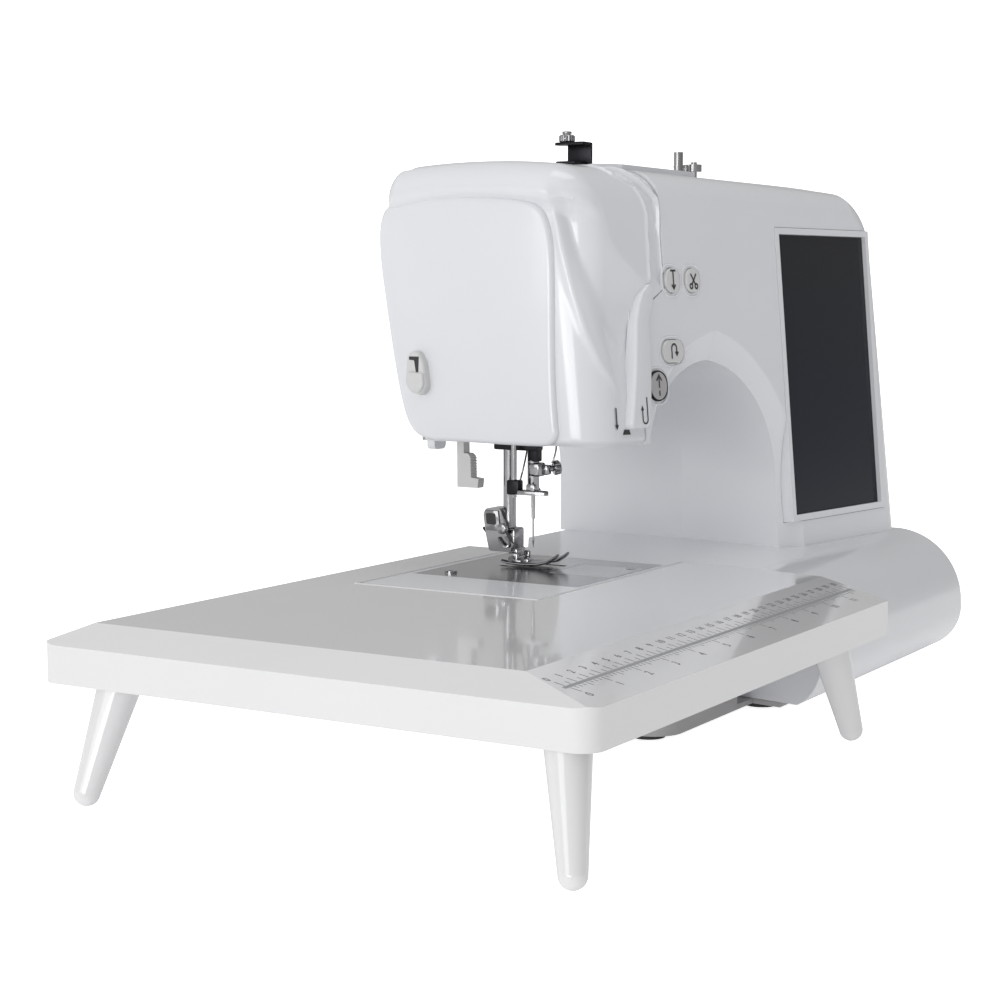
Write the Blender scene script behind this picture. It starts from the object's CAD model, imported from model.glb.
import math

import bpy
import numpy as np
from mathutils import Matrix, Vector
from mathutils.bvhtree import BVHTree


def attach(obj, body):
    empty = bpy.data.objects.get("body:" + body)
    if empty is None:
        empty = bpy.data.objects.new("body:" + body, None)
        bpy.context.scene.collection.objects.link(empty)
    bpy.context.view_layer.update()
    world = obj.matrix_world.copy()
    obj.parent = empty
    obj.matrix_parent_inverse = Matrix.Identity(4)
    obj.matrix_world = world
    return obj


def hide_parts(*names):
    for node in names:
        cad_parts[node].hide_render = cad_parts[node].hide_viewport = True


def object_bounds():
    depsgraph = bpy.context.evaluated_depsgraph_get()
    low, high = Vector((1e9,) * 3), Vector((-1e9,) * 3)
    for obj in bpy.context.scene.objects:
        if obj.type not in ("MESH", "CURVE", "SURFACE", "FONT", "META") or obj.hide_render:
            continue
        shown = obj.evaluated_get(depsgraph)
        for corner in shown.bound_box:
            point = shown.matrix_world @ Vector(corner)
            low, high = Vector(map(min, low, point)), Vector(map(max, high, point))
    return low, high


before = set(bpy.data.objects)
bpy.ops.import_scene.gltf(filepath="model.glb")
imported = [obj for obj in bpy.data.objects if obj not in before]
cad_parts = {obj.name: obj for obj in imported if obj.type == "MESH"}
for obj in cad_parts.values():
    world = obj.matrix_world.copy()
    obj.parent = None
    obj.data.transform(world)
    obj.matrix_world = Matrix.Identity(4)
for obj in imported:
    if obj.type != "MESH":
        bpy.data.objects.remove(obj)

bl_info = {
    "name": "Sewing Machine Looks",
    "version": (1, 0, 0),
    "blender": (4, 5, 0),
    "location": "3D View > Sidebar > Sewing Machine",
    "description": "Finishes and fine pieces of a free-arm sewing machine on its CAD frame",
    "category": "Object",
}

CAD_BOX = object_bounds()
MM = 0.001

# Front plane of the casings: y = -43.5 at x 150, z 78, turned and leaning back.
FRONT_POINT = (150.0, -43.5, 78.0)
FRONT_TURN = 0.152
FRONT_LEAN = 0.093
FRONT_NORMAL = Vector((-FRONT_TURN, -1.0, FRONT_LEAN)).normalized()

# Head: its side wall, the radius of its corner and brow, and the crown over it.
HEAD_SIDE = -38.2
CORNER_R = 20.0
BROW_R = 17.0
SEAM_Y = 54.3
CROWN_TOP = 295.9
CROWN_Y = 70.0
CROWN_R = 480.0
HEAD_BOTTOM = 147.0

# The low step across the top, above the rounded right shoulder, and the bobbin winder's spindle.
SHOULDER_X = 232.0
SHOULDER_TOP = 286.6
WINDER = (208.0, 66.0)

# Ruler on the table's front rim: its nought, and its marks of an eighth inch before the slanted end.
RULER_ZERO_X = -268.0
INCH = 25.4
EIGHTHS = 95
PRINT_THICK = 0.05

# The camera: its lens in millimetres, its place in metres, and its tilt and turn in degrees.
CAMERA_LENS = 72.92
CAMERA_PLACE = (-0.9494, -0.5005, 0.2291)
CAMERA_TILT = 90.0 - 5.981
CAMERA_TURN = 31.054 - 90.0


def front_y(x, z):
    """The y of the casing's front plane, in millimetres."""
    return FRONT_POINT[1] - FRONT_TURN * (x - FRONT_POINT[0]) + FRONT_LEAN * (z - FRONT_POINT[2])


def crown_z(y):
    """The height of the arched top at y, in millimetres."""
    return CROWN_TOP - (y - CROWN_Y) ** 2 / (2 * CROWN_R)


# ---------------------------------------------------------------- finishes


class Wire:
    """A shader socket that is used in ordinary sums."""

    def __init__(self, tree, socket):
        self.tree = tree
        self.socket = socket

    def made(self, kind, settings=(), sockets=(), out=0):
        """Adds a node with its settings and its sockets' values or links, and gives one of its outputs."""
        node = self.tree.nodes.new(kind)
        for key, value in dict(settings).items():
            if key == "stops":
                lay_stops(node.color_ramp, value)
            else:
                setattr(node, key, value)
        for key, value in dict(sockets).items():
            if isinstance(value, Wire):
                self.tree.links.new(value.socket, node.inputs[key])
            else:
                node.inputs[key].default_value = value
        return Wire(self.tree, node.outputs[out])

    def _sum(self, operation, first, second):
        """Adds a Math node on two values or sockets."""
        return self.made("ShaderNodeMath", {"operation": operation}, {0: first, 1: second})

    def __add__(self, other):
        return self._sum("ADD", self, other)

    def __radd__(self, other):
        return self._sum("ADD", other, self)

    def __sub__(self, other):
        return self._sum("SUBTRACT", self, other)

    def __rsub__(self, other):
        return self._sum("SUBTRACT", other, self)

    def __mul__(self, other):
        return self._sum("MULTIPLY", self, other)

    def __rmul__(self, other):
        return self._sum("MULTIPLY", other, self)


def lay_stops(ramp, stops):
    """Gives a colour ramp its (place, colour) stops."""
    while len(ramp.elements) < len(stops):
        ramp.elements.new(0.5)
    for element, (place, colour) in zip(ramp.elements, stops):
        element.position = place
        element.color = colour


def grey(value):
    """A neutral colour of one value."""
    return (value, value, value, 1.0)


class Finish:
    """A material under construction: its shader and its object coordinates."""

    def __init__(self, name):
        self.material = bpy.data.materials.new(name)
        self.material.use_nodes = True
        self.tree = self.material.node_tree
        self.shader = self.tree.nodes["Principled BSDF"]
        self.root = Wire(self.tree, None)
        self.place = self.root.made("ShaderNodeTexCoord", out="Object")

    def set(self, **values):
        """Sets shader sockets, named with underscores for spaces, to constants or links."""
        for key, value in values.items():
            socket = self.shader.inputs[key.replace("_", " ")]
            if isinstance(value, Wire):
                self.tree.links.new(value.socket, socket)
            else:
                socket.default_value = value
        return self

    def noise(self, scale, detail=2.0, stretch=(1.0, 1.0, 1.0)):
        """Noise over the piece's own place, of so many waves a metre."""
        at = self.root.made("ShaderNodeMapping", {"vector_type": "POINT"},
                            {"Vector": self.place, "Scale": stretch})
        return self.root.made("ShaderNodeTexNoise", {}, {
            "Vector": at, "Scale": scale, "Detail": detail})

    def mix(self, share, first, second):
        """A colour between two, by a share from 0 to 1."""
        return self.root.made("ShaderNodeMix", {"data_type": "RGBA"},
                              {"Factor": share, "A": first, "B": second}, out="Result")

    def bump(self, height, depth):
        """Relief of so many metres under the surface's normal."""
        return self.root.made("ShaderNodeBump", {}, {
            "Height": height, "Distance": depth, "Strength": 1.0})


def plastic(name, colour, shade, rough, coat=0.0, grain=900.0, depth=0.000004):
    """Moulded plastic: a little cloudiness, uneven gloss and the faint waviness of the tool."""
    skin = Finish(name)
    cloud = skin.noise(14.0, 3.0)
    fine = skin.noise(grain, 2.0)
    wave = skin.noise(55.0, 1.0)
    skin.set(Base_Color=skin.mix(cloud, colour, shade), Roughness=fine * (rough * 0.3) + rough * 0.85,
             Normal=skin.bump(fine * 0.25 + wave, depth * 4.0), Coat_Weight=coat, Coat_Roughness=0.04,
             IOR=1.49)
    return skin.material


def metal(name, colour, shade, rough, stretch=(1.0, 1.0, 1.0), depth=0.000003, scale=700.0):
    """Bare or plated metal, with its grain drawn out along one way."""
    skin = Finish(name)
    grain = skin.noise(scale, 3.0, stretch)
    cloud = skin.noise(60.0, 2.0)
    skin.set(Base_Color=skin.mix(cloud, colour, shade), Metallic=1.0,
             Roughness=grain * (rough * 0.6) + rough * 0.7,
             Normal=skin.bump(grain, depth))
    return skin.material


def smoke_glass():
    """The dark screen: nearly black, a little lighter towards its top."""
    skin = Finish("smoke_glass")
    height = skin.root.made("ShaderNodeSeparateXYZ", {}, {"Vector": skin.place}, out="Z")
    level = skin.root.made("ShaderNodeMapRange", {}, {
        "Value": height, "From Min": 0.1, "From Max": 0.26})
    dust = skin.noise(400.0, 4.0)
    tone = skin.root.made("ShaderNodeValToRGB", {"stops": (
        (0.0, (0.006, 0.008, 0.018, 1.0)), (0.45, (0.010, 0.012, 0.021, 1.0)),
        (1.0, (0.020, 0.021, 0.023, 1.0)))}, {"Fac": level})
    skin.set(Base_Color=tone, Roughness=dust * 0.05 + 0.16, IOR=1.4,
             Specular_IOR_Level=0.35)
    return skin.material


def circuit_board():
    """Green board with a fine pattern of lighter tracks."""
    skin = Finish("board_green")
    tracks = skin.root.made("ShaderNodeTexBrick", {"offset": 0.37}, {
        "Vector": skin.place, "Color1": (0.012, 0.09, 0.035, 1.0), "Color2": (0.016, 0.12, 0.05, 1.0),
        "Mortar": (0.05, 0.2, 0.09, 1.0), "Scale": 160.0, "Mortar Size": 0.012})
    grain = skin.noise(500.0)
    skin.set(Base_Color=tracks, Roughness=grain * 0.2 + 0.3)
    return skin.material


def clear_plastic():
    """Clear acrylic of the bobbin and its cover, faintly grey."""
    skin = Finish("clear_plastic")
    cloud = skin.noise(120.0)
    skin.set(Base_Color=skin.mix(cloud, (0.80, 0.82, 0.84, 1.0), (0.70, 0.72, 0.75, 1.0)),
             Roughness=cloud * 0.08 + 0.05, IOR=1.49, Transmission_Weight=0.35)
    return skin.material


def lamp_diffuser():
    """The warm lamp's frosted window."""
    skin = Finish("lamp_diffuser")
    cells = skin.noise(1500.0)
    skin.set(Base_Color=skin.mix(cells, (0.92, 0.90, 0.84, 1.0), (0.80, 0.78, 0.72, 1.0)),
             Roughness=cells * 0.2 + 0.4)
    return skin.material


def finishes(look):
    """Every finish of the machine by the name of its slot."""
    shell = tuple(look.shell_colour)
    table = tuple(look.table_colour)
    made = {
        "white_shell": plastic("white_shell", shell, tuple(0.955 * c for c in shell[:3]) + (1.0,),
                               look.shell_roughness, 0.25),
        "white_table": plastic("white_table", table, tuple(0.965 * c for c in table[:3]) + (1.0,),
                               look.table_roughness, 0.6, 600.0, 0.000002),
        "white_satin": plastic("white_satin", (0.70, 0.70, 0.70, 1.0), (0.63, 0.63, 0.63, 1.0), 0.38),
        "grey_plastic": plastic("grey_plastic", (0.47, 0.46, 0.465, 1.0), (0.41, 0.40, 0.41, 1.0), 0.42),
        "plate_steel": metal("plate_steel", (0.46, 0.46, 0.47, 1.0), (0.40, 0.40, 0.415, 1.0), 0.20,
                             (1.0, 22.0, 1.0), 0.000002, 160.0),
        "bright_chrome": metal("bright_chrome", (0.40, 0.40, 0.41, 1.0), (0.27, 0.27, 0.28, 1.0), 0.13),
        "black_steel": metal("black_steel", (0.035, 0.035, 0.04, 1.0), (0.022, 0.022, 0.025, 1.0), 0.34),
        "dark_plastic": plastic("dark_plastic", (0.022, 0.022, 0.025, 1.0), (0.035, 0.035, 0.038, 1.0),
                                0.35),
        "smoke_glass": smoke_glass(),
        "clear_plastic": clear_plastic(),
        "foot_rubber": plastic("foot_rubber", (0.05, 0.05, 0.052, 1.0), (0.035, 0.035, 0.036, 1.0), 0.7,
                               0.0, 1500.0, 0.00001),
        "belt_rubber": plastic("belt_rubber", (0.03, 0.03, 0.03, 1.0), (0.02, 0.02, 0.02, 1.0), 0.6),
        "cast_aluminium": metal("cast_aluminium", (0.48, 0.48, 0.49, 1.0), (0.40, 0.40, 0.41, 1.0), 0.5,
                                (1.0, 1.0, 1.0), 0.00002, 900.0),
        "shaft_steel": metal("shaft_steel", (0.55, 0.55, 0.56, 1.0), (0.48, 0.48, 0.49, 1.0), 0.22,
                             (12.0, 1.0, 1.0)),
        "bushing_bronze": metal("bushing_bronze", (0.52, 0.35, 0.17, 1.0), (0.45, 0.29, 0.13, 1.0), 0.32),
        "board_green": circuit_board(),
        "lamp_diffuser": lamp_diffuser(),
        "print_ink": plastic("print_ink", tuple(look.ink_colour), (0.05, 0.05, 0.06, 1.0), 0.4),
        "middle_ink": plastic("middle_ink", (0.36, 0.37, 0.38, 1.0), (0.31, 0.32, 0.33, 1.0), 0.4),
        "pale_ink": plastic("pale_ink", (0.075, 0.075, 0.085, 1.0), (0.06, 0.06, 0.07, 1.0), 0.4),
    }
    return made


FINISHES = {}


# ---------------------------------------------------------------- making tools


def pick(*objects):
    """Selects only these objects and makes the first one active."""
    bpy.ops.object.select_all(action="DESELECT")
    for each in objects:
        each.select_set(True)
    bpy.context.view_layer.objects.active = objects[0] if objects else None


def placed(obj):
    """Leaves the object at the origin, with its place in its mesh."""
    pick(obj)
    bpy.ops.object.transform_apply(location=True, rotation=True, scale=True)
    return obj


def named(name):
    """The active object, renamed."""
    obj = bpy.context.active_object
    obj.name = name
    obj.data.name = name
    return obj


def fixed(obj, body, slot, *stands_for, angle=40.0):
    """Puts a finished piece on its body with its finish, and smooths it up to an angle."""
    placed(obj)
    obj.data.materials.clear()
    obj.data.materials.append(FINISHES[slot])
    bpy.ops.object.shade_smooth_by_angle(angle=math.radians(angle))
    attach(obj, body)
    if stands_for:
        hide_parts(*stands_for)
    return obj


def chosen(obj, test):
    """Selects the faces that pass a test, and stays in edit mode."""
    pick(obj)
    bpy.ops.object.mode_set(mode="EDIT")
    bpy.ops.mesh.select_mode(type="FACE")
    bpy.ops.mesh.select_all(action="DESELECT")
    bpy.ops.object.mode_set(mode="OBJECT")
    for face in obj.data.polygons:
        face.select = test(face)
    bpy.ops.object.mode_set(mode="EDIT")


def edges_even(obj):
    """Merges doubles and turns every face outwards."""
    pick(obj)
    bpy.ops.object.mode_set(mode="EDIT")
    bpy.ops.mesh.select_all(action="SELECT")
    bpy.ops.mesh.remove_doubles(threshold=0.000005)
    bpy.ops.mesh.normals_make_consistent(inside=False)
    bpy.ops.object.mode_set(mode="OBJECT")


def bevelled(obj, width, segments=3, angle=35.0):
    """Rounds the piece's sharp edges, in millimetres."""
    pick(obj)
    cut = obj.modifiers.new("edge", "BEVEL")
    cut.width = width * MM
    cut.segments = segments
    cut.limit_method = "ANGLE"
    cut.angle_limit = math.radians(angle)
    cut.use_clamp_overlap = True
    bpy.ops.object.modifier_apply(modifier="edge")
    return obj


def joined(name, *objects):
    """One object of several."""
    pick(*objects)
    if len(objects) > 1:
        bpy.ops.object.join()
    return named(name)


def meshed(name, corners, faces):
    """A linked object of corners in metres and faces."""
    mesh = bpy.data.meshes.new(name)
    mesh.from_pydata(corners, [], faces)
    obj = bpy.data.objects.new(name, mesh)
    bpy.context.collection.objects.link(obj)
    return obj


def block(size, at):
    """A box of a size in millimetres, in place."""
    bpy.ops.object.select_all(action="DESELECT")
    bpy.ops.mesh.primitive_cube_add(size=1.0, location=Vector(at) * MM)
    obj = bpy.context.active_object
    obj.scale = Vector(size) * MM
    return placed(obj)


def rod(radius, start, end, sides=24):
    """A round rod between two points, in millimetres."""
    a = Vector(start) * MM
    b = Vector(end) * MM
    bpy.ops.object.select_all(action="DESELECT")
    bpy.ops.mesh.primitive_cylinder_add(vertices=sides, radius=radius * MM, depth=(b - a).length)
    obj = bpy.context.active_object
    turn = (b - a).to_track_quat("Z", "Y").to_matrix().to_4x4()
    obj.matrix_world = Matrix.Translation((a + b) / 2) @ turn
    return placed(obj)


def plate(points, push, rounding=0.0, steps=4):
    """A flat outline in millimetres pushed out along a vector, its far rim rounded."""
    corners = [Vector(p) * MM for p in points]
    obj = meshed("plate", corners, [list(range(len(corners)))])
    pick(obj)
    push = Vector(push)
    rise = push.length
    bpy.ops.object.mode_set(mode="EDIT")
    bpy.ops.mesh.select_all(action="SELECT")
    straight = push.normalized() * (rise - rounding) * MM
    bpy.ops.mesh.extrude_region_move(TRANSFORM_OT_translate={"value": straight})
    for k in range(steps if rounding else 0):
        a = math.pi / 2 * k / steps
        b = math.pi / 2 * (k + 1) / steps
        inwards = rounding * (math.cos(a) - math.cos(b)) * MM
        up = rounding * (math.sin(b) - math.sin(a)) * MM
        bpy.ops.mesh.inset(thickness=inwards, depth=0.0, use_even_offset=True)
        bpy.ops.transform.translate(value=push.normalized() * up)
    bpy.ops.mesh.select_all(action="SELECT")
    bpy.ops.mesh.normals_make_consistent(inside=False)
    bpy.ops.object.mode_set(mode="OBJECT")
    return obj


def lofted(name, rings):
    """A skin through rings of points in millimetres, its ends closed."""
    count = len(rings[0])
    corners = [Vector(p) * MM for ring_points in rings for p in ring_points]
    faces = []
    for level in range(len(rings) - 1):
        a = level * count
        for k in range(count):
            m = (k + 1) % count
            faces.append((a + k, a + m, a + count + m, a + count + k))
    faces.append(list(range(count)))
    faces.append([len(corners) - count + k for k in range(count)])
    obj = meshed(name, corners, faces)
    edges_even(obj)
    return obj


def swept(name, radius, points, sides=12, body="root"):
    """A bent wire of a radius through points, in millimetres."""
    curve = bpy.data.curves.new(name, "CURVE")
    curve.dimensions = "3D"
    curve.bevel_depth = radius * MM
    curve.bevel_resolution = max(1, sides // 4)
    curve.use_fill_caps = True
    line = curve.splines.new("NURBS")
    line.points.add(len(points) - 1)
    for spot, place in zip(line.points, points):
        spot.co = (*(Vector(place) * MM), 1.0)
    line.order_u = 3
    line.use_endpoint_u = True
    obj = bpy.data.objects.new(name, curve)
    bpy.context.collection.objects.link(obj)
    pick(obj)
    bpy.ops.object.convert(target="MESH")
    return fixed(named(name), body, "bright_chrome")


def rounded_outline(points, radius, steps=6):
    """A closed 2-D outline with its corners rounded."""
    found = []
    count = len(points)
    for k, here in enumerate(points):
        here = Vector(here)
        before = (Vector(points[k - 1]) - here)
        after = (Vector(points[(k + 1) % count]) - here)
        reach = min(radius, before.length * 0.48, after.length * 0.48)
        a = here + before.normalized() * reach
        b = here + after.normalized() * reach
        for step in range(steps + 1):
            t = step / steps
            found.append((1 - t) ** 2 * a + 2 * t * (1 - t) * here + t ** 2 * b)
    return found


def cut_corners(points, times):
    """A closed 2-D outline made smooth by cutting its corners again and again."""
    for _ in range(times):
        after = points[1:] + points[:1]
        points = [spot for (ax, ay), (bx, by) in zip(points, after) for spot in (
            (0.75 * ax + 0.25 * bx, 0.75 * ay + 0.25 * by),
            (0.25 * ax + 0.75 * bx, 0.25 * ay + 0.75 * by))]
    return points


def tree_of(*nodes):
    """Something that rays can be cast at, of CAD nodes or pieces."""
    corners = []
    faces = []
    for node in nodes:
        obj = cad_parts[node] if isinstance(node, str) else node
        start = len(corners)
        corners += [v.co.copy() for v in obj.data.vertices]
        faces += [[start + k for k in p.vertices] for p in obj.data.polygons]
    return BVHTree.FromPolygons(corners, faces)


def laid_on(obj, tree, towards, lift):
    """Drops the piece's vertices onto a surface along a way, keeping their own height along it."""
    towards = Vector(towards).normalized()
    for vertex in obj.data.vertices:
        height = vertex.co.dot(towards)
        start = vertex.co - towards * (height + 1.0)
        place, _, _, _ = tree.ray_cast(start, towards)
        if place is not None:
            vertex.co = place - towards * (lift * MM) + towards * height
    return obj


def ribbon(points, width):
    """A flat printed line through 2-D points, as a closed strip that lies at height nought."""
    corners = []
    pts = [Vector(p) for p in points]
    for k, here in enumerate(pts):
        ahead = (pts[min(k + 1, len(pts) - 1)] - here)
        behind = (here - pts[max(k - 1, 0)])
        ahead = ahead.normalized() if ahead.length else behind.normalized()
        behind = behind.normalized() if behind.length else ahead
        along = (ahead + behind).normalized()
        stretch = 1.0 / max(0.4, along.dot(ahead))
        side = Vector((-along.y, along.x)) * (width / 2 * stretch)
        for level in (0.0, PRINT_THICK):
            corners.append((here.x + side.x, here.y + side.y, level))
            corners.append((here.x - side.x, here.y - side.y, level))
    faces = [(0, 1, 3, 2)]
    for k in range(len(pts) - 1):
        a = 4 * k
        b = a + 4
        faces += [(a, b, b + 1, a + 1), (a + 2, a + 3, b + 3, b + 2),
                  (a, a + 2, b + 2, b), (a + 1, b + 1, b + 3, a + 3)]
    e = 4 * (len(pts) - 1)
    faces.append((e, e + 2, e + 3, e + 1))
    return corners, faces


def printed(lines, width):
    """An object of several printed lines, in millimetres on the XY plane."""
    corners = []
    faces = []
    for line in lines:
        more, sides = ribbon(line, width)
        faces += [[k + len(corners) for k in side] for side in sides]
        corners += more
    obj = meshed("print", [Vector(c) * MM for c in corners], faces)
    edges_even(obj)
    return obj


def arc(x, y, radius, start, end, steps=10):
    """Points of an arc, its angles in degrees."""
    turns = [math.radians(start + (end - start) * k / steps) for k in range(steps + 1)]
    return [(x + radius * math.cos(t), y + radius * math.sin(t)) for t in turns]


def front_frame(x, z):
    """The matrix that stands a flat drawing on the casing's front plane at x, z."""
    out = FRONT_NORMAL
    right = Vector((1.0, -FRONT_TURN, 0.0)).normalized()
    up = out.cross(right).normalized()
    turn = Matrix((right, up, out)).transposed().to_4x4()
    return Matrix.Translation(Vector((x, front_y(x, z), z)) * MM) @ turn


# ---------------------------------------------------------------- the head


BROW_EDGE = ((287.6, 16), (283, 23), (276.3, 32), (265.8, 35.5), (254.1, 39), (245.9, 46), (240, 55),
             (231, 69), (222, 84), (205, 96), (150, 110))
FOLD_LINE = ((290, 0), (271.3, 1.4), (261.9, 4.5), (249.1, 7), (228, 11.4), (205.7, 18), (190.3, 25),
             (178.1, 35), (160, 52), (147, 66))
CHANNEL_LEFT = ((300, 3), (288, 7), (282.4, 17), (269.3, 22.5), (232.8, 21), (226, 15), (147, 15))
CHANNEL_RIGHT = ((300, 20), (286.3, 25), (276.9, 32), (257.4, 33), (229, 33), (147, 33))


def along(pairs, z):
    """A value that follows height, through (height, value) pairs given from the top down."""
    heights = [p[0] for p in reversed(pairs)]
    values = [p[1] for p in reversed(pairs)]
    return np.interp(z, heights, values)


def smooth(low, high, value):
    """0 below low, 1 above high, and an even turn between."""
    t = np.clip((value - low) / (high - low), 0.0, 1.0)
    return t * t * (3.0 - 2.0 * t)


SHARE_SEAM = 0.6
FRONT_SLOPE = math.sqrt(1.0 + FRONT_TURN ** 2 + FRONT_LEAN ** 2)
BROW_BULGE = 6.0
SHARE_BROW = 0.1
BROW_INNER_X = -32.8
BROW_BACK = 123.0


def head_base(points):
    """How far outside the head's plain rounded form each point lies, in millimetres."""
    x, y, z = points[:, 0], points[:, 1], points[:, 2]
    front = (front_y(x, z) - y) / FRONT_SLOPE
    crown = crown_z(y)
    lip = 276.0 - (y - 62.0) ** 2 * 0.0022
    brow = smooth(-3.0, 5.0, z - lip)
    side = HEAD_SIDE + 2.6 - BROW_BULGE * brow - x
    core = np.stack([side + CORNER_R, front + CORNER_R, (z - crown) * CORNER_R / BROW_R + CORNER_R,
                     (y - BROW_BACK) * 1.7 + CORNER_R], axis=1)
    outer = np.linalg.norm(np.maximum(core, 0.0), axis=1)
    return outer + np.minimum(core.max(axis=1), 0.0) - CORNER_R


def head_relief(points, look):
    """How deep the head's scoop, ridge and channel go in at each point, in millimetres."""
    x, y, z = points[:, 0], points[:, 1], points[:, 2]
    core_x = HEAD_SIDE + CORNER_R
    centre_y = front_y(core_x, z) + CORNER_R * FRONT_SLOPE
    turn = np.arctan2(np.maximum(centre_y - y, 0.0), np.maximum(core_x - x, 1e-6))
    path = np.where(x < core_x, CORNER_R * turn, CORNER_R * math.pi / 2 + (x - core_x) * 1.0115)
    fold = along(FOLD_LINE, z)
    edge = along(BROW_EDGE, z)
    share = np.clip((path - fold) / (edge - fold), 0.0, 1.0)
    fade = smooth(160.0, 212.0, z) * (1.0 - smooth(262.0, 288.0, z))
    scoop = look.fold_depth / MM * fade * smooth(-0.02, 0.30, share) * (1.0 - share) ** 1.2 * 1.35
    ridge = 1.1 * np.exp(-((path - fold + 1.6) / 3.0) ** 2) * fade
    on_front = smooth(0.0, 4.0, centre_y - y)
    inside = np.minimum(x - along(CHANNEL_LEFT, z), along(CHANNEL_RIGHT, z) - x)
    high = smooth(228.0, 234.0, z) * (1.0 - smooth(12.0, 34.0, y))
    groove = look.channel_depth / MM * smooth(-0.3, 1.4, inside) * high
    rim = 1.1 * np.exp(-((inside + 0.9) / 0.9) ** 2) * high
    under = 3.0 * (1.0 - smooth(147.0, 150.5, z)) ** 2
    return on_front * (scoop - ridge) + groove - rim + under


def head_right(z):
    """The x of the head skin's right edge, where the stepped channel is."""
    return np.interp(z, (214.0, 229.0), (5.7, 32.8))


def head_start(unit):
    """Points of the cube spread over the head's sharp block, before they are drawn in."""
    share = (unit + 1.0) / 2.0
    y = np.where(share[:, 1] < SHARE_SEAM, share[:, 1] / SHARE_SEAM * SEAM_Y,
                 SEAM_Y + (share[:, 1] - SHARE_SEAM) / (1 - SHARE_SEAM) * (BROW_BACK - SEAM_Y))
    crown = crown_z(y)
    z = HEAD_BOTTOM + (crown - HEAD_BOTTOM) * share[:, 2]
    right = head_right(z)
    x = np.where(share[:, 0] < SHARE_BROW,
                 HEAD_SIDE + share[:, 0] / SHARE_BROW * (BROW_INNER_X - HEAD_SIDE),
                 BROW_INNER_X + (share[:, 0] - SHARE_BROW) / (1 - SHARE_BROW) * (right - BROW_INNER_X))
    lead = front_y(x, z)
    y = np.where(share[:, 1] < SHARE_SEAM, lead + (SEAM_Y - lead) * share[:, 1] / SHARE_SEAM, y)
    return np.stack([x, y, z], axis=1)


def slope_of(points, step=0.02):
    """The value and the slope of the head's plain form at each point."""
    reach = head_base(points)
    slope = np.stack([(head_base(points + step * np.eye(3)[k]) - reach) / step for k in range(3)],
                     axis=1)
    return reach, slope


def drawn_in(points, look, rounds=22):
    """Moves points onto the head's plain form, then in by its relief."""
    for _ in range(rounds):
        reach, slope = slope_of(points)
        size = np.maximum(np.sum(slope ** 2, axis=1), 0.3)
        points = points - (0.75 * reach / size)[:, None] * slope
    slope = slope_of(points)[1]
    out = slope / np.maximum(np.linalg.norm(slope, axis=1), 1e-6)[:, None]
    return points - out * head_relief(points, look)[:, None]


def beyond_skin(face):
    """Whether a face of the divided cube lies behind the seam, where the skin is only the brow."""
    share = (face.center + Vector((1.0, 1.0, 1.0))) / 2
    return share.y > SHARE_SEAM and (share.x > SHARE_BROW or (share.x < 0.001 and share.z < 0.7))


def head_skin(look):
    """The head's sculpted skin: a cube's three outer faces, divided and drawn onto the form."""
    bpy.ops.object.select_all(action="DESELECT")
    bpy.ops.mesh.primitive_cube_add(size=2.0)
    obj = named("head_skin")
    chosen(obj, lambda face: face.normal.x > 0.5 or face.normal.y > 0.5 or face.normal.z < -0.5)
    bpy.ops.mesh.delete(type="FACE")
    bpy.ops.mesh.select_all(action="SELECT")
    bpy.ops.mesh.subdivide(number_cuts=9)
    bpy.ops.mesh.subdivide(number_cuts=10)
    bpy.ops.object.mode_set(mode="OBJECT")
    count = len(obj.data.vertices)
    unit = np.empty(count * 3)
    obj.data.vertices.foreach_get("co", unit)
    unit = unit.reshape(-1, 3)
    chosen(obj, beyond_skin)
    bpy.ops.object.mode_set(mode="OBJECT")
    points = drawn_in(head_start(unit), look)
    obj.data.vertices.foreach_set("co", (points * MM).ravel())
    bpy.ops.object.mode_set(mode="EDIT")
    bpy.ops.mesh.delete(type="FACE")
    bpy.ops.mesh.select_all(action="SELECT")
    bpy.ops.mesh.normals_make_consistent(inside=False)
    bpy.ops.object.mode_set(mode="OBJECT")
    wall = obj.modifiers.new("wall", "SOLIDIFY")
    wall.thickness = 1.6 * MM
    wall.offset = -1.0
    bpy.ops.object.modifier_apply(modifier="wall")
    return fixed(obj, "root", "white_shell", "head_cover", angle=50.0)


PANEL_OUTLINE = ((13.0, 147.0), (36, 146.6), (70, 147.4), (98, 147.6), (107, 156), (112, 172), (116.5, 195),
                 (120.5, 219), (124.5, 244), (125, 263), (120, 274), (101, 277), (70, 277.6), (38, 275.2),
                 (23.5, 271.0), (18, 257), (16.8, 235), (16.6, 190), (15.2, 165))
PANEL_MIDDLE = (-0.0388, 0.068, 0.213)


def face_panel():
    """The big cover on the head's left side: a slightly domed plate with a rolled rim."""
    outline = [(-32.4, y, z) for y, z in cut_corners(PANEL_OUTLINE, 3)]
    obj = plate(outline, (-6.4, 0.0, 0.0), 2.8, 6)
    last = min(face.center.x for face in obj.data.polygons)
    chosen(obj, lambda face: face.center.x < last + 0.00001 and face.normal.x < -0.9)
    for part, rise in ((0.94, 0.2), (0.86, 0.25), (0.72, 0.3), (0.5, 0.2), (0.25, 0.1)):
        bpy.ops.mesh.inset(thickness=0.01 * MM, depth=0.0)
        bpy.ops.transform.resize(value=(1.0, part, part), center_override=PANEL_MIDDLE)
        bpy.ops.transform.translate(value=(-rise * MM, 0.0, 0.0))
    bpy.ops.object.mode_set(mode="OBJECT")
    obj = joined("face_panel", obj)
    return fixed(obj, "root", "white_shell", "face_cover", angle=35.0)


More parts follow.
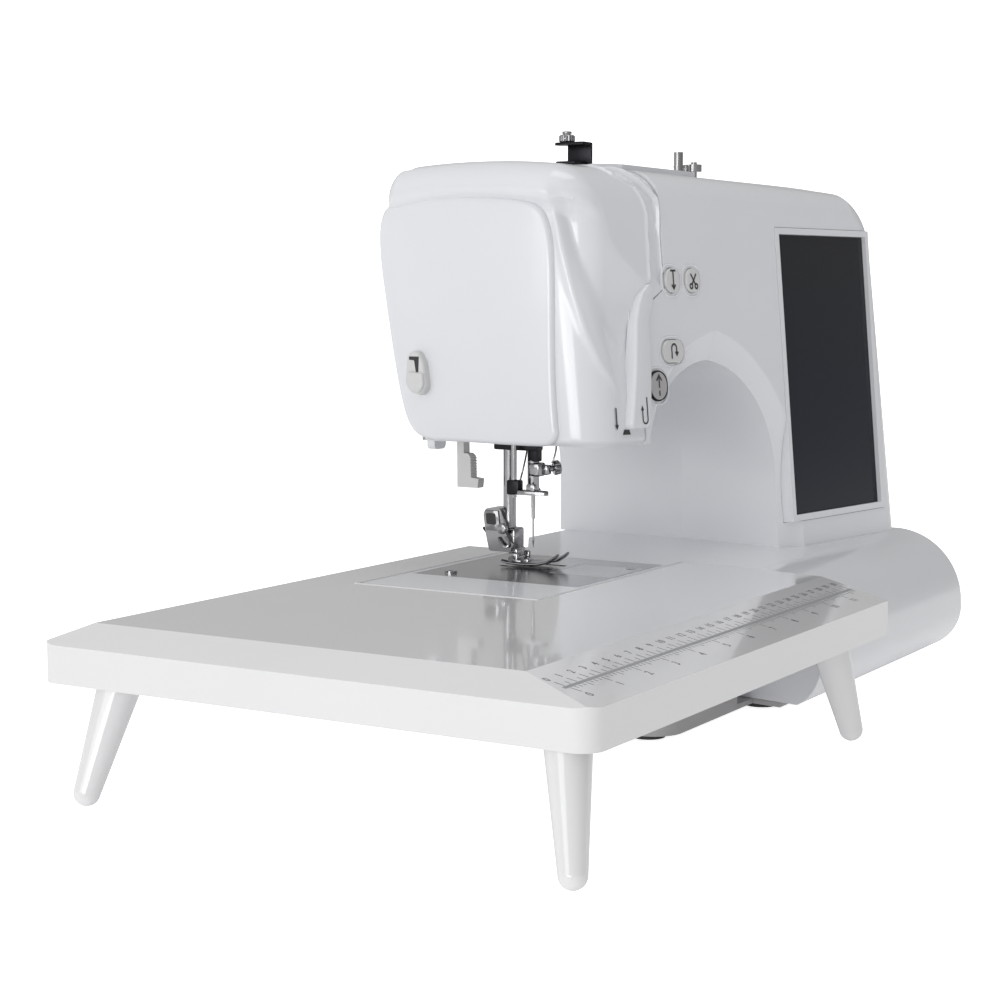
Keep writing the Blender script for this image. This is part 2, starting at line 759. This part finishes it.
def side_cutter():
    """The thread cutter on the face panel: a hooked boss with a dark slot and its blade."""
    outline = rounded_outline(((90.5, 176), (94, 171.5), (101, 173.5), (104.2, 178), (103, 192),
                               (100.5, 195.5), (96, 195.5), (92.5, 190)), 2.2, 4)
    boss = plate([(-39.2, p.x, p.y) for p in outline], (-5.2, 0.0, 0.0), 1.6, 4)
    lip = plate([(-43.6, p.x, p.y) for p in rounded_outline(
        ((91.5, 177), (94.5, 173), (100.5, 174.5), (102.5, 178.5), (101.5, 184.5), (92, 184)), 1.5, 3)],
        (-2.4, 0.0, 0.0), 1.0, 3)
    whole = joined("side_cutter", boss, lip)
    fixed(whole, "root", "white_satin")
    slot = plate([(-44.35, p.x, p.y) for p in rounded_outline(
        ((95.4, 182.5), (96.6, 182.5), (98.0, 190.6), (101.2, 190.8), (101.2, 192.6), (95.0, 192.6)),
        0.4, 2)], (-0.16, 0.0, 0.0))
    fixed(joined("cutter_slot", slot), "root", "dark_plastic")


BAR_LEFT = ((231.0, 17.2), (225.0, 9.4), (211.0, 2.2), (157.0, -11.2))
BAR_RIGHT = ((231.0, 21.4), (221.0, 20.6), (213.0, 15.2), (157.0, 6.0))


def channel_bar():
    """The raised bar beside the thread channel: slim at its head, standing out at its foot."""
    rings = []
    for z in (231.0, 229.5, 226.0, 221.0, 216.0, 211.0, 200.0, 185.0, 170.0, 160.0, 158.2, 156.6,
              155.6, 155.2):
        left = float(along(BAR_LEFT, z))
        right = float(along(BAR_RIGHT, z))
        rise = 1.6 + 3.6 * float(smooth(0.0, 1.0, (232.0 - z) / 60.0))
        pull = max(0.0, 158.2 - z) / 3.0
        left += 1.6 * pull ** 2
        right -= 1.6 * pull ** 2
        rise -= 1.4 * pull ** 2
        edge = min(1.7, rise * 0.7)
        profile = [(left, -3.0)] + [(left + edge - edge * math.cos(a), rise - edge + edge * math.sin(a))
                                    for a in (0.0, 0.4, 0.8, 1.2, math.pi / 2)]
        profile += [(right - edge + edge * math.sin(a), rise - edge + edge * math.cos(a))
                    for a in (0.0, 0.4, 0.8, 1.2, math.pi / 2)] + [(right, -3.0)]
        rings.append([Vector((x, front_y(x, z), z)) + FRONT_NORMAL * out for x, out in profile])
    fixed(joined("channel_bar", lofted("channel_bar", rings)), "root", "white_shell", angle=50.0)
    gap = plate([Vector((x, front_y(x, z), z)) + FRONT_NORMAL * 0.05 for x, z in (
        (-12.0, 155.4), (-13.4, 152.8), (-6.8, 152.6), (-8.0, 155.2))], FRONT_NORMAL * 0.3)
    fixed(joined("channel_foot_gap", gap), "root", "dark_plastic")


def channel_floor():
    """The white floor of the stepped thread channel, just under the casings' faces."""
    line = ((3.0, 146.5), (13.0, 146.5), (13.0, 211.0), (39.0, 228.0), (39.0, 274.0), (29.0, 274.0),
            (29.0, 232.0), (3.0, 217.0))
    points = [Vector((x, front_y(x, z), z)) - FRONT_NORMAL * 4.4 for x, z in line]
    obj = plate(points, FRONT_NORMAL * 1.9)
    fixed(joined("channel_floor", obj), "root", "white_shell")


# ---------------------------------------------------------------- printing and buttons


def drawn_on_front(name, lines, width, x, z, out, body, slot):
    """Printed lines on the front plane at x, z, so far out, on a body."""
    obj = printed(lines, width)
    obj.data.transform(Matrix.Translation(FRONT_NORMAL * out * MM) @ front_frame(x, z))
    return fixed(joined(name, obj), body, slot)


NEEDLE_ICON = (((0, 5.2), (0, -4.2)), ((-1.7, -2.4), (0, -4.6), (1.7, -2.4)), ((-2.4, 5.2), (2.4, 5.2)))
SCISSORS_ICON = (((-2.6, 3.6), (1.6, -2.2)), ((2.6, 3.6), (-1.6, -2.2)), arc(2.4, -3.2, 1.3, 0, 360),
                 arc(-2.4, -3.2, 1.3, 0, 360))
REVERSE_ICON = (((-2.4, -4.2), (-2.4, 1.6), *arc(0, 1.6, 2.4, 180, 0, 8), (2.4, -1.6)),
                ((1.0, -0.4), (2.4, -2.2), (3.8, -0.4)))
START_ICON = (((0, -1.0), (0, 4.4)), ((-2.0, 2.4), (0, 4.9), (2.0, 2.4)), ((0, -4.6), (0, -2.2)))
DOWN_ARROW = (((0, 5.0), (0, -5.4)), ((-1.1, -3.8), (0, -5.6), (1.1, -3.8)))
TURN_ARROW = (((-2.2, 2.6), (-2.2, -3.6), *arc(0, -3.6, 2.2, 180, 360, 8), (2.2, 8.0)),
              ((-3.1, 1.2), (-2.2, 2.9), (-1.3, 1.2)))
BUTTONS = (
    ("needle_position_button", (40.0, 233.0), (8.2, 8.2), NEEDLE_ICON, 1.0),
    ("thread_cut_button", (59.0, 233.0), (8.2, 8.2), SCISSORS_ICON, 1.0),
    ("reverse_stitch_button", (36.0, 195.0), (11.2, 7.6), REVERSE_ICON, 0.95),
    ("start_stop_button", (20.0, 177.0), (9.4, 9.4), START_ICON, 1.15),
)


def oval(width, height, steps=48, square=2.6):
    """A rounded oval outline of half sizes, squarer with a larger power."""
    found = []
    for k in range(steps):
        turn = 2 * math.pi * k / steps
        c, s = math.cos(turn), math.sin(turn)
        found.append((width * math.copysign(abs(c) ** (2 / square), c),
                      height * math.copysign(abs(s) ** (2 / square), s)))
    return found


def ring(name, x, z, half, width, rise, slot, square=2.6):
    """A thin raised ring round a button on the front plane."""
    inner = oval(half[0], half[1], square=square)
    outer = oval(half[0] + width, half[1] + width, square=square)
    count = len(inner)
    levels = ((inner, -0.8), (inner, rise * 0.7), (oval(half[0] + width * 0.3, half[1] + width * 0.3,
              square=square), rise), (oval(half[0] + width * 0.7, half[1] + width * 0.7, square=square),
              rise), (outer, rise * 0.6), (outer, -0.8))
    corners = [Vector((px, py, level)) * MM for line, level in levels for px, py in line]
    faces = []
    for level in range(len(levels)):
        after = (level + 1) % len(levels)
        for k in range(count):
            m = (k + 1) % count
            faces.append((level * count + k, level * count + m, after * count + m, after * count + k))
    obj = meshed(name, corners, faces)
    obj.data.transform(front_frame(x, z))
    edges_even(obj)
    return fixed(joined(name, obj), "root", slot)


def arrows_on_head():
    """The printed threading arrows beside the channel."""
    drawn_on_front("down_arrow", DOWN_ARROW, 0.95, -18.2, 162.0, 0.35, "root", "print_ink")
    drawn_on_front("turn_arrow", TURN_ARROW, 0.9, 0.4, 163.5, 5.3, "root", "print_ink")


# ---------------------------------------------------------------- round the needle


def knurled(name, radius, start, end, body, slot, teeth=20):
    """A thumb screw's head with fine teeth round it and eased rims."""
    a, b = Vector(start), Vector(end)
    turn = (b - a).to_track_quat("Z", "Y").to_matrix()
    length = (b - a).length
    rings = []
    for share, size in ((0.0, 0.80), (0.06, 0.93), (0.16, 1.0), (0.84, 1.0), (0.94, 0.93), (1.0, 0.80)):
        points = []
        for k in range(teeth * 4):
            angle = 2 * math.pi * k / (teeth * 4)
            tooth = 1.0 if k % 4 in (0, 1) else 0.93
            reach = radius * size * (tooth if 0.1 < share < 0.9 else 0.95)
            points.append(a + turn @ Vector((reach * math.cos(angle), reach * math.sin(angle),
                                             length * share)))
        rings.append(points)
    return fixed(joined(name, lofted(name, rings)), body, slot, angle=30.0)


def bar_yoke():
    """The dark yoke under the head that guides both bars, and the bars' wire guides."""
    bridge = bevelled(block((8.0, 27.0, 5.0), (0.0, 59.5, 143.6)), 0.8, 2)
    front = bevelled(block((6.4, 5.6, 12.0), (0.0, 49.0, 141.2)), 0.7, 2)
    fixed(joined("bar_yoke", bridge, front), "root", "black_steel")
    swept("yoke_guide", 0.5, [(0.6, 54.0, 143.0), (1.0, 56.0, 133.0), (1.6, 60.0, 122.0)], 8)
    swept("lower_guide", 0.55, [(12.0, 42.5, 147.0), (10.6, 41.0, 139.5), (9.0, 44.0, 133.0)], 8)


def needle_clamp():
    """The needle's clamp: a collar on the bar, its stud, thumb screw and thread guide."""
    collar = bevelled(block((7.4, 7.6, 7.5), (0.2, 48.2, 131.0)), 1.1, 3)
    lug = bevelled(block((5.0, 4.6, 5.5), (4.2, 44.6, 130.6)), 0.8, 2)
    stud = rod(1.6, (4.6, 44.2, 130.8), (10.0, 41.3, 131.4), 20)
    holder = rod(2.6, (0.0, 50.0, 121.0), (0.0, 50.0, 128.0), 24)
    shank = rod(1.15, (0.0, 50.0, 110.0), (0.0, 50.0, 122.0), 20)
    fixed(joined("clamp_body", collar, lug, stud, holder, shank), "needle_bar", "bright_chrome",
          "needle_clamp")
    knurled("clamp_screw", 4.0, (8.5, 42.6, 131.2), (11.6, 40.0, 131.8), "needle_bar", "bright_chrome", 18)
    swept("clamp_wire", 0.45, [(-2.6, 48.0, 122.6), (-2.4, 46.0, 119.0), (0.4, 45.2, 118.0),
                               (2.4, 47.0, 119.6), (1.6, 49.0, 122.6)], 8, "needle_bar")


def threader_arm():
    """The needle threader: its rod, a dark slider and a flat fork beside the needle."""
    shaft = rod(1.6, (-9.0, 57.0, 116.0), (-9.0, 57.0, 235.0), 20)
    fork = rounded_outline(((-11.4, 57.6), (-6.0, 57.6), (-5.6, 47.0), (-5.7, 38.4), (-7.4, 35.8),
                            (-9.8, 36.8), (-11.6, 43.0), (-12.0, 50.0)), 2.0, 4)
    arm = plate([(p.x, p.y, 117.8) for p in fork], (0.0, 0.0, 2.6), 0.8, 3)
    post = bevelled(block((3.4, 5.4, 5.0), (-8.2, 46.4, 121.2)), 0.8, 2)
    fixed(joined("threader_fork", shaft, arm, post), "needle_threader", "bright_chrome",
          "needle_threader")
    slider = bevelled(block((5.6, 7.6, 8.0), (-9.0, 56.4, 121.6)), 0.8, 2)
    fixed(joined("threader_slider", slider), "needle_threader", "black_steel")


def foot_ankle():
    """The snap-on foot's ankle: a bent shank with a window, its clamp screw and release lever."""
    side = rounded_outline(((59.6, 85.6), (73.6, 85.6), (75.6, 94.0), (77.4, 106.0), (75.4, 109.2),
                            (66.4, 109.2), (64.6, 104.0), (63.2, 96.0), (59.4, 90.4)), 1.6, 4)
    shank = plate([(-7.6, p.x, p.y) for p in side], (13.2, 0.0, 0.0), 1.0, 3)
    cheek = plate([(-7.4, y, z) for y, z in (
        (65.8, 97.0), (74.8, 97.0), (75.8, 108.0), (67.2, 108.0))], (-1.6, 0.0, 0.0), 0.5, 2)
    collar = bevelled(block((10.4, 8.6, 12.0), (0.4, 63.0, 92.4)), 1.3, 3)
    tongue = bevelled(block((9.6, 5.6, 7.0), (0.0, 60.0, 84.2)), 1.0, 3)
    fixed(joined("foot_ankle", shank, cheek, collar, tongue), "presser_bar", "bright_chrome", "foot_holder")
    window = plate([(-9.05, p.x, p.y) for p in rounded_outline(
        ((68.2, 100.4), (74.2, 100.4), (74.8, 106.6), (68.8, 106.6)), 1.1, 3)], (-0.2, 0.0, 0.0))
    fixed(joined("ankle_window", window), "presser_bar", "dark_plastic")
    lever = plate([(-3.0, p.x, p.y) for p in rounded_outline(
        ((73.8, 89.0), (80.6, 97.0), (80.4, 98.0), (76.6, 97.8), (74.0, 94.4)), 0.5, 3)], (6.0, 0.0, 0.0))
    fixed(joined("ankle_release", lever), "presser_bar", "black_steel")
    swept("ankle_spring", 0.8, [(-8.2, 67.0, 93.4), (-9.4, 64.6, 89.6), (-9.0, 61.4, 88.0),
                                (-8.0, 60.2, 91.0), (-8.0, 62.8, 94.0)], 10, "presser_bar")
    knurled("ankle_screw", 3.0, (-8.6, 63.6, 98.6), (-11.4, 63.6, 98.6), "presser_bar", "bright_chrome", 14)


def foot_toes():
    """The foot's two long toes, turned up at their tips, its bridge and its pin."""
    parts = []
    for side in (-1.0, 1.0):
        rings = []
        for y, z, half, thick in ((66.0, 79.6, 2.6, 1.4), (62.0, 78.9, 3.6, 1.6), (52.0, 78.8, 4.1, 1.7),
                                  (43.0, 79.2, 4.1, 1.8), (37.0, 80.6, 3.9, 1.8), (33.6, 82.8, 3.2, 1.6),
                                  (31.6, 84.8, 2.0, 1.2)):
            x = side * 5.6
            rings.append([(x + half * math.cos(a), y, z + thick / 2 + thick / 2 * math.sin(a)
                           * (1.0 if math.sin(a) < 0 else 1.5)) for a in
                          [2 * math.pi * k / 20 for k in range(20)]])
        parts.append(lofted("toe", rings))
    parts.append(bevelled(block((15.0, 8.0, 2.2), (0.0, 57.6, 80.6)), 0.7, 2))
    for x in (-6.4, 6.4):
        parts.append(bevelled(block((2.0, 6.4, 6.4), (x, 58.8, 82.2)), 0.9, 3))
    parts.append(rod(1.5, (-9.4, 58.6, 82.4), (9.4, 58.6, 82.4), 20))
    parts.append(bevelled(block((3.0, 3.0, 2.4), (-5.4, 50.8, 81.2)), 0.5, 2))
    fixed(joined("foot_toes", *parts), "presser_foot", "bright_chrome", "presser_foot")


def sensor_lever():
    """The buttonhole lever: a ribbed blade with a stepped pad and a toe."""
    side = ((92.5, 120.0), (79.4, 120.0), (78.8, 125.0), (83.6, 125.6), (84.2, 137.4), (86.0, 138.8),
            (88.2, 138.8), (88.6, 155.4), (92.8, 155.4))
    blade = plate([(-10.2, y, z) for y, z in side], (6.6, 0.0, 0.0), 0.5, 2)
    ribs = [bevelled(block((6.8, 1.0, 0.6), (-6.9, 83.9, 127.0 + 1.5 * k)), 0.2, 1) for k in range(7)]
    stem = bevelled(block((6.6, 4.0, 62.0), (-6.9, 90.8, 185.0)), 0.5, 1)
    fixed(joined("sensor_lever", blade, stem, *ribs), "buttonhole_lever", "white_satin",
          "buttonhole_lever")


# ---------------------------------------------------------------- on top


def shoulder_wall():
    """The low step across the casing's top, where the crown ends above the rounded right shoulder."""
    rings = []
    for y in np.linspace(-12.0, 117.5, 28):
        top = max(SHOULDER_TOP, crown_z(y) - 0.3)
        left, right = SHOULDER_X - 2.9, SHOULDER_X - 0.05
        rings.append([(left, y, 285.4), (right, y, 285.4), (right, y, top), (left, y, top)])
    fixed(joined("shoulder_wall", lofted("shoulder_wall", rings)), "root", "white_shell")


def top_guide():
    """The bent black thread guide with its chrome tension nut."""
    foot = bevelled(block((16.0, 12.0, 1.6), (28.0, 42.0, 296.6)), 0.5, 2)
    web = bevelled(block((1.8, 15.0, 11.5), (33.0, 40.0, 302.0)), 0.6, 2)
    tab = plate([(p.x, p.y, 306.4) for p in rounded_outline(
        ((24.0, 33.0), (34.0, 33.0), (34.0, 47.0), (31.0, 52.0), (25.5, 52.0), (24.0, 48.0)), 1.5, 4)],
        (0.0, 0.0, 1.5), 0.4, 2)
    fixed(joined("thread_guide", foot, web, tab), "root", "black_steel", "thread_guide_bracket")
    knurled("tension_nut", 4.4, (28.0, 45.4, 307.9), (28.0, 45.4, 312.0), "root", "bright_chrome", 16)
    post = rod(2.0, (28.0, 45.4, 307.0), (28.0, 45.4, 313.0), 20)
    cap = bevelled(rod(2.6, (28.0, 45.4, 312.3), (28.0, 45.4, 313.8), 24), 0.4, 2)
    fixed(joined("tension_post", post, cap), "root", "bright_chrome", "pretension_stud")


def winder_top():
    """The bobbin winder's spindle with its dome and groove, and the knurled stop beside it."""
    x, y = WINDER
    shaft = rod(2.9, (x, y, 284.0), (x, y, 311.4), 28)
    dome = bevelled(rod(2.9, (x, y, 311.4), (x, y, 313.4), 28), 1.6, 4)
    flange = bevelled(rod(8.6, (x, y, 298.6), (x, y, 300.4), 40), 0.5, 2)
    groove = rod(3.1, (x, y, 304.0), (x, y, 305.2), 28)
    fixed(joined("winder_post", shaft, dome, flange, groove), "winder_spindle", "bright_chrome")
    knurled("winder_stop", 3.8, (x + 14.0, y, 301.4), (x + 14.0, y, 306.4), "root", "bright_chrome", 14)


# ---------------------------------------------------------------- the table


def table_print(name, drawings, tree, slot="pale_ink"):
    """Joins drawings, lays them on the table's top and lets them ride with it."""
    obj = joined(name, *drawings)
    laid_on(obj, tree, (0.0, 0.0, -1.0), 0.02)
    return fixed(obj, "extension_table", slot, angle=10.0)


def figure(text, x, y, size):
    """A printed number centred at x, y, as a thin mesh."""
    bpy.ops.object.select_all(action="DESELECT")
    bpy.ops.object.text_add(location=(0.0, 0.0, 0.0))
    obj = bpy.context.active_object
    obj.data.body = text
    obj.data.size = size * MM
    obj.data.extrude = 0.03 * MM
    obj.data.resolution_u = 3
    obj.data.align_x = "CENTER"
    obj.data.align_y = "CENTER"
    bpy.ops.object.convert(target="MESH")
    obj = bpy.context.active_object
    obj.data.transform(Matrix.Translation(Vector((x, y, 0.0)) * MM))
    return obj


def ruler(tree):
    """The ruler on the front rim: centimetres behind its middle line and inches before it."""
    ticks = []
    for mm in range(0, 301, 5):
        reach = 4.6 if mm % 10 == 0 else 2.6
        ticks.append(((RULER_ZERO_X + mm, -119.6), (RULER_ZERO_X + mm, -119.6 + reach)))
    for eighth in range(EIGHTHS):
        reach = 5.0 if eighth % 8 == 0 else 3.4 if eighth % 4 == 0 else 1.9
        at = RULER_ZERO_X + INCH * eighth / 8
        ticks.append(((at, -122.4), (at, -122.4 - reach)))
    table_print("ruler_ticks", [printed(ticks, 0.34)], tree)
    middle = [[(RULER_ZERO_X - 3 + k * 9.8, -121.0) for k in range(32)]]
    table_print("ruler_middle", [printed(middle, 1.9)], tree, "middle_ink")
    numbers = [figure(str(k), RULER_ZERO_X + 10 * k, -111.6, 5.2) for k in range(31)]
    numbers += [figure(str(k), RULER_ZERO_X + INCH * k, -131.0, 5.6) for k in range(12)]
    table_print("ruler_numbers", numbers, tree)


def arm_lip():
    """The thin raised lip round the table's cut-out for the free arm."""
    corners = [(-104.9, -13.4), (-104.9, 95.4), (54.5, 95.4), (54.5, 94.2), (-103.7, 94.2),
               (-103.7, -12.2), (55.8, -12.2), (55.8, -13.4)]
    obj = plate([(x, y, 77.6) for x, y in corners], (0.0, 0.0, 0.75), 0.3, 3)
    fixed(joined("free_arm_lip", obj), "extension_table", "white_table")


# ---------------------------------------------------------------- the stage


def lamp(name, at, aim, size, watts):
    """A soft square light."""
    light = bpy.data.lights.new(name, "AREA")
    light.shape = "RECTANGLE"
    light.size = size[0]
    light.size_y = size[1]
    light.energy = watts
    obj = bpy.data.objects.new(name, light)
    obj.location = at
    obj.rotation_euler = (Vector(aim) - Vector(at)).to_track_quat("-Z", "Y").to_euler()
    bpy.context.collection.objects.link(obj)
    return obj


def studio_world(look):
    """White behind the machine and softer grey above, so that glossy tops read grey."""
    world = bpy.data.worlds.new("studio")
    bpy.context.scene.world = world
    world.use_nodes = True
    tree = world.node_tree
    root = Wire(tree, None)
    where = root.made("ShaderNodeTexCoord", out="Generated")
    height = root.made("ShaderNodeSeparateXYZ", {}, {"Vector": where}, out="Z")
    across = root.made("ShaderNodeSeparateXYZ", {}, {"Vector": where}, out="X")
    ahead = root.made("ShaderNodeSeparateXYZ", {}, {"Vector": where}, out="Y")
    level = root.made("ShaderNodeValToRGB", {"stops": (
        (0.0, grey(0.80)), (0.50, grey(0.90)), (0.525, grey(0.86)), (0.56, grey(0.60)), (0.64, grey(0.56)),
        (0.80, grey(0.88)), (1.0, grey(0.95)))}, {"Fac": height * 0.5 + 0.5})
    turn = 0.80 - across * 0.20 + ahead * 0.24
    tone = root.made("ShaderNodeMix", {"data_type": "RGBA", "blend_type": "MULTIPLY"},
                     {"Factor": 1.0, "A": level, "B": turn}, out="Result")
    ray = root.made("ShaderNodeLightPath", out="Is Camera Ray")
    seen = root.made("ShaderNodeMix", {"data_type": "RGBA"},
                     {"Factor": ray, "A": tone, "B": grey(1.7)}, out="Result")
    back = tree.nodes["Background"]
    tree.links.new(seen.socket, back.inputs["Color"])
    back.inputs["Strength"].default_value = look.sky_strength


def camera():
    """The camera, at the eye's place for this machine."""
    data = bpy.data.cameras.new("studio_camera")
    data.lens = CAMERA_LENS
    data.sensor_width = 36.0
    obj = bpy.data.objects.new("studio_camera", data)
    obj.location = CAMERA_PLACE
    obj.rotation_euler = (math.radians(CAMERA_TILT), 0.0, math.radians(CAMERA_TURN))
    bpy.context.collection.objects.link(obj)
    bpy.context.scene.camera = obj


def floor(look):
    """A wide pale floor under the machine."""
    bpy.ops.object.select_all(action="DESELECT")
    bpy.ops.mesh.primitive_grid_add(x_subdivisions=8, y_subdivisions=8, size=30.0,
                                    location=(0.0, 0.0, CAD_BOX[0][2] - 0.0004))
    obj = placed(named("studio_floor"))
    skin = Finish("studio_floor")
    cloud = skin.noise(0.8)
    seen = skin.root.made("ShaderNodeLightPath", out="Is Camera Ray")
    skin.set(Base_Color=skin.mix(cloud, grey(0.93), grey(0.90)), Roughness=cloud * 0.1 + 0.6,
             Emission_Color=grey(1.0), Emission_Strength=seen * look.floor_glow + 0.25)
    obj.data.materials.append(skin.material)


# ---------------------------------------------------------------- the add-on


class MachineLook(bpy.types.PropertyGroup):
    """Colours and sizes that a user would change."""

    shell_colour: bpy.props.FloatVectorProperty(
        name="Shell colour", description="Colour of the casings", subtype="COLOR", size=4,
        default=(0.80, 0.81, 0.84, 1.0), min=0.0, max=1.0)
    table_colour: bpy.props.FloatVectorProperty(
        name="Table colour", description="Colour of the extension table", subtype="COLOR", size=4,
        default=(0.80, 0.80, 0.81, 1.0), min=0.0, max=1.0)
    ink_colour: bpy.props.FloatVectorProperty(
        name="Ink colour", description="Colour of the printed arrows", subtype="COLOR", size=4,
        default=(0.03, 0.03, 0.035, 1.0), min=0.0, max=1.0)
    shell_roughness: bpy.props.FloatProperty(
        name="Shell roughness", description="Roughness of the casings", default=0.20, min=0.0, max=1.0,
        subtype="FACTOR")
    table_roughness: bpy.props.FloatProperty(
        name="Table roughness", description="Roughness of the table", default=0.13, min=0.0, max=1.0,
        subtype="FACTOR")
    fold_depth: bpy.props.FloatProperty(
        name="Fold depth", description="Depth of the scoop across the head's front", default=0.0052,
        min=0.0, max=0.01, unit="LENGTH")
    channel_depth: bpy.props.FloatProperty(
        name="Channel depth", description="Depth of the thread channel's wide groove", default=0.0022,
        min=0.0, max=0.005, unit="LENGTH")
    sky_strength: bpy.props.FloatProperty(
        name="Studio light", description="Strength of the even light all round", default=0.86, min=0.0,
        max=5.0)
    floor_glow: bpy.props.FloatProperty(
        name="Floor glow", description="Light that the floor gives off", default=0.6, min=0.0, max=5.0)


class MACHINE_OT_finishes(bpy.types.Operator):
    """Gives every CAD node the finish of its slot"""

    bl_idname = "machine.finishes"
    bl_label = "Finishes"

    def execute(self, context):
        FINISHES.update(finishes(context.scene.machine_look))
        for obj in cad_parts.values():
            for slot in obj.material_slots:
                slot.material = FINISHES[slot.material.name.split(".")[0]]
        return {"FINISHED"}


class MACHINE_OT_head(bpy.types.Operator):
    """Makes the head's skin, its face panel, cutter and channel bar"""

    bl_idname = "machine.head"
    bl_label = "Head"

    def execute(self, context):
        look = context.scene.machine_look
        head_skin(look)
        face_panel()
        side_cutter()
        channel_bar()
        channel_floor()
        arrows_on_head()
        return {"FINISHED"}


class MACHINE_OT_buttons(bpy.types.Operator):
    """Adds the buttons' rings and icons"""

    bl_idname = "machine.buttons"
    bl_label = "Buttons"

    def execute(self, context):
        for body, (x, z), half, icon, size in BUTTONS:
            ring(body + "_ring", x, z, half, 0.9, 0.6, "white_shell")
            if body == "start_stop_button":
                ring("start_stop_dark_ring", x, z, (7.3, 7.3), 1.0, 1.5, "black_steel", 2.1)
            lines = [[(px * size, py * size) for px, py in line] for line in icon]
            drawn_on_front(body + "_icon", lines, 1.05, x, z, 1.68, body, "print_ink")
        return {"FINISHED"}


class MACHINE_OT_needle(bpy.types.Operator):
    """Makes the clamp, the threader, the presser foot and the sensor lever"""

    bl_idname = "machine.needle"
    bl_label = "Needle area"

    def execute(self, context):
        bar_yoke()
        needle_clamp()
        threader_arm()
        foot_ankle()
        foot_toes()
        sensor_lever()
        return {"FINISHED"}


class MACHINE_OT_top(bpy.types.Operator):
    """Makes the shoulder's step, the thread guide and the winder's post"""

    bl_idname = "machine.top"
    bl_label = "Top"

    def execute(self, context):
        shoulder_wall()
        top_guide()
        winder_top()
        return {"FINISHED"}


class MACHINE_OT_table(bpy.types.Operator):
    """Adds the table's ruler and the lip round the free arm"""

    bl_idname = "machine.table"
    bl_label = "Table"

    def execute(self, context):
        ruler(tree_of("extension_table"))
        arm_lip()
        return {"FINISHED"}


class MACHINE_OT_stage(bpy.types.Operator):
    """Sets the floor, the light and the camera"""

    bl_idname = "machine.stage"
    bl_label = "Stage"

    def execute(self, context):
        look = context.scene.machine_look
        context.scene.view_settings.view_transform = "Standard"
        floor(look)
        studio_world(look)
        lamp("left_soft", (-2.3, 0.45, 0.6), (0.0, 0.0, 0.2), (1.3, 0.8), 7.0)
        lamp("low_soft", (-2.2, -0.30, 0.22), (0.1, 0.0, 0.12), (1.0, 0.3), 6.0)
        lamp("high_soft", (0.1, -0.3, 1.9), (0.0, 0.0, 0.1), (0.9, 0.9), 5.0)
        camera()
        return {"FINISHED"}


class MACHINE_PT_looks(bpy.types.Panel):
    """Sidebar panel that lists the machine's groups"""

    bl_label = "Sewing Machine"
    bl_space_type = "VIEW_3D"
    bl_region_type = "UI"
    bl_category = "Sewing Machine"

    def draw(self, context):
        look = context.scene.machine_look
        for key in look.bl_rna.properties.keys():
            if key not in ("rna_type", "name"):
                self.layout.prop(look, key)
        for each in OPERATORS:
            self.layout.operator(each.bl_idname)


OPERATORS = (MACHINE_OT_finishes, MACHINE_OT_head, MACHINE_OT_buttons, MACHINE_OT_needle,
             MACHINE_OT_top, MACHINE_OT_table, MACHINE_OT_stage)
CLASSES = (MachineLook,) + OPERATORS + (MACHINE_PT_looks,)


def register():
    """Adds the classes and the scene's property group to Blender."""
    for each in CLASSES:
        bpy.utils.register_class(each)
    bpy.types.Scene.machine_look = bpy.props.PointerProperty(type=MachineLook)


def unregister():
    """Takes the classes and the property group away again."""
    del bpy.types.Scene.machine_look
    for each in reversed(CLASSES):
        bpy.utils.unregister_class(each)


def main():
    """Runs every operator in turn."""
    register()
    for each in OPERATORS:
        group, action = each.bl_idname.split(".")
        getattr(getattr(bpy.ops, group), action)()


if __name__ == "__main__":
    main()
